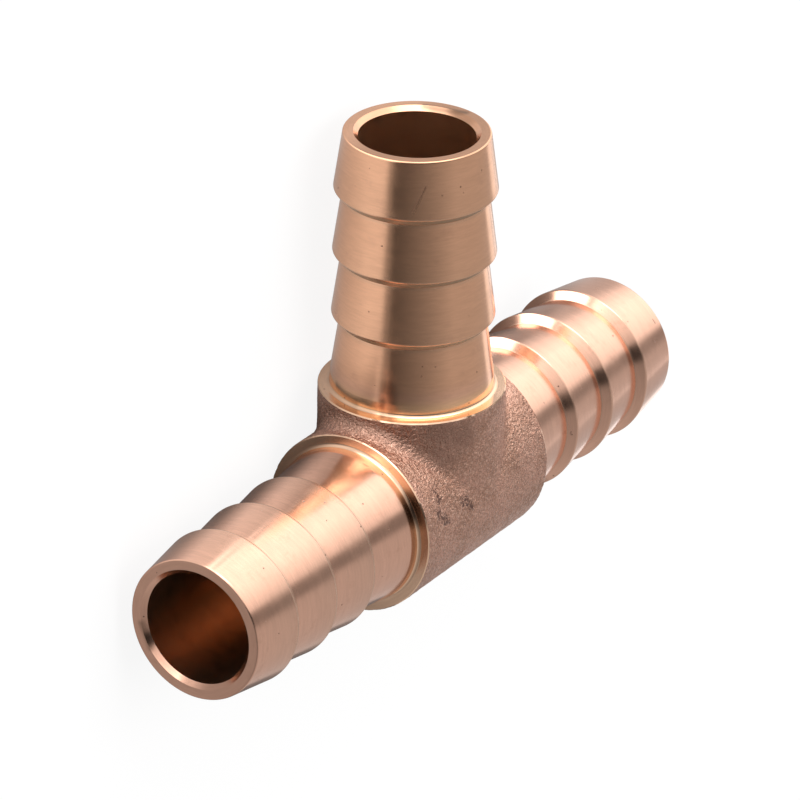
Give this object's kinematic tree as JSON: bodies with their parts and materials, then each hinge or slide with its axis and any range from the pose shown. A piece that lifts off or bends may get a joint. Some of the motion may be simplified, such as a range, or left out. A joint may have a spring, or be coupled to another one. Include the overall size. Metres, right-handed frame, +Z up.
{
  "type": "hose barb tee",
  "caption": "One-piece brass hose tee: equal barbed arms with plain bores join three hoses at a rough round body.",
  "frame": {"origin": "the crossing of the run bore axis and the branch bore axis, in the middle of the body", "axes": "+X along the run, +Y along the branch towards its mouth, +Z up from the plane of the arms, as the tee lies on a table"},
  "size_m": [0.066, 0.0411, 0.0162],
  "materials": {
    "brass": "satin turned arms and shoulders, rough cast body"
  },
  "bodies": {
    "root": {"tee": "brass"}
  },
  "joints": []
}
